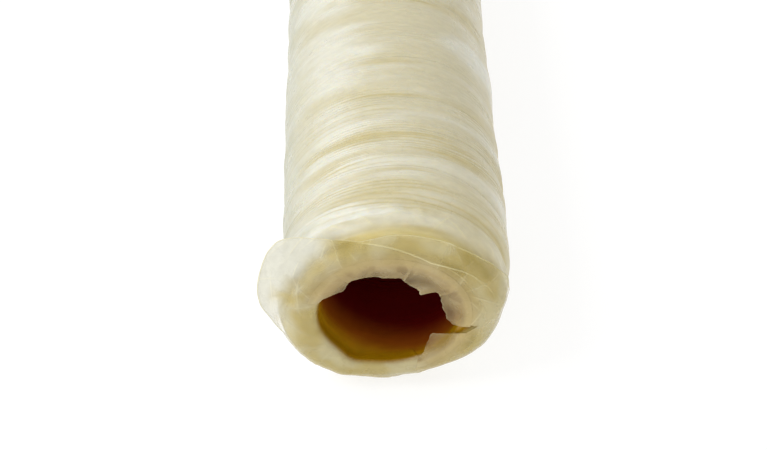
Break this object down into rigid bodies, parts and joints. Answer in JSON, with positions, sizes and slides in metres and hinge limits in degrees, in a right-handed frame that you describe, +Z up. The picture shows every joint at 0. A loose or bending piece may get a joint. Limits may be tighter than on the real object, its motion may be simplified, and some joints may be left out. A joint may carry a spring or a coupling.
{
  "type": "shirred sausage casing stick",
  "caption": "Stick of shirred collagen film: nested cone-shaped pleat packs round an open bore, with a folded film cuff and torn flaps at the mouth.",
  "frame": {"origin": "on the table, under the crest of the pleat pack near mid-length", "axes": "+Z up from the table, +Y along the bore axis from the mouth to the tail, +X to the right seen from the mouth"},
  "size_m": [0.0323, 0.1793, 0.0318],
  "materials": {
    "pleats": "waxy translucent collagen film in tight pleats, ochre where folds shade it",
    "film": "single thin collagen film, glassy and wrinkled, nearly clear at the torn edge"
  },
  "bodies": {
    "stick": {"pleat_pack_04": "pleats", "pleat_pack_05": "pleats", "pleat_pack_06": "pleats", "pleat_pack_07": "pleats", "pleat_pack_08": "pleats", "pleat_pack_09": "pleats", "pleat_pack_10": "pleats", "pleat_pack_11": "pleats", "pleat_pack_12": "pleats", "pleat_pack_13": "pleats", "pleat_pack_14": "pleats", "pleat_pack_15": "pleats", "pleat_pack_16": "pleats", "pleat_pack_17": "pleats", "pleat_pack_18": "pleats", "pleat_pack_19": "pleats", "pleat_pack_20": "pleats", "pleat_pack_21": "pleats", "pleat_pack_22": "pleats", "pleat_pack_23": "pleats", "tail_film": "film", "film_web_04": "film"},
    "third_pack": {"pleat_pack_03": "pleats", "film_web_03": "film"},
    "second_pack": {"pleat_pack_02": "pleats", "film_web_02": "film"},
    "first_pack": {"pleat_pack_01": "pleats", "film_web_01": "film"},
    "mouth": {"nose_pack": "pleats", "mouth_cuff": "film"},
    "flap_upper_left_film": {"flap_upper_left": "film"},
    "flap_top_film": {"flap_top": "film"},
    "flap_pointed_film": {"flap_pointed": "film"},
    "flap_right_film": {"flap_right": "film"},
    "flap_lower_right_film": {"flap_lower_right": "film"}
  },
  "joints": [
    {"name": "third_pack_draw", "type": "slide", "parent": "stick", "child": "third_pack", "axis": [0, -1, 0], "range_m": [0, 0.0015], "deforming": ["film_web_04"]},
    {"name": "second_pack_draw", "type": "slide", "parent": "third_pack", "child": "second_pack", "axis": [0, -1, 0], "range_m": [0, 0.003], "deforming": ["film_web_03"]},
    {"name": "first_pack_draw", "type": "slide", "parent": "second_pack", "child": "first_pack", "axis": [0, -1, 0], "range_m": [0, 0.006], "deforming": ["film_web_02"]},
    {"name": "mouth_draw", "type": "slide", "parent": "first_pack", "child": "mouth", "axis": [0, -1, 0], "range_m": [0, 0.012], "deforming": ["film_web_01"]},
    {"name": "flap_upper_left_hinge", "type": "hinge", "parent": "mouth", "child": "flap_upper_left_film", "pos_m": [-0.00657, -0.08735, 0.0196], "axis": [0.6018, 0, 0.7986], "range_deg": [-60, 75], "stiffness_Nm_per_rad": 0.000005},
    {"name": "flap_top_hinge", "type": "hinge", "parent": "mouth", "child": "flap_top_film", "pos_m": [-0.00125, -0.08735, 0.02256], "axis": [0.9877, 0, 0.1564], "range_deg": [-60, 75], "stiffness_Nm_per_rad": 0.000005},
    {"name": "flap_pointed_hinge", "type": "hinge", "parent": "mouth", "child": "flap_pointed_film", "pos_m": [0.00497, -0.08735, 0.02101], "axis": [0.788, 0, -0.6157], "range_deg": [-60, 75], "stiffness_Nm_per_rad": 0.000005},
    {"name": "flap_right_hinge", "type": "hinge", "parent": "mouth", "child": "flap_right_film", "pos_m": [0.00812, -0.08735, 0.01594], "axis": [0.1564, 0, -0.9877], "range_deg": [-60, 75], "stiffness_Nm_per_rad": 0.000005},
    {"name": "flap_lower_right_hinge", "type": "hinge", "parent": "mouth", "child": "flap_lower_right_film", "pos_m": [0.00599, -0.08735, 0.00925], "axis": [-0.6691, 0, -0.7431], "range_deg": [-60, 75], "stiffness_Nm_per_rad": 0.000005}
  ],
  "couplings": [
    {"joint": "first_pack_draw", "follows": "mouth_draw", "ratio": 0.5},
    {"joint": "second_pack_draw", "follows": "mouth_draw", "ratio": 0.25},
    {"joint": "third_pack_draw", "follows": "mouth_draw", "ratio": 0.125}
  ]
}
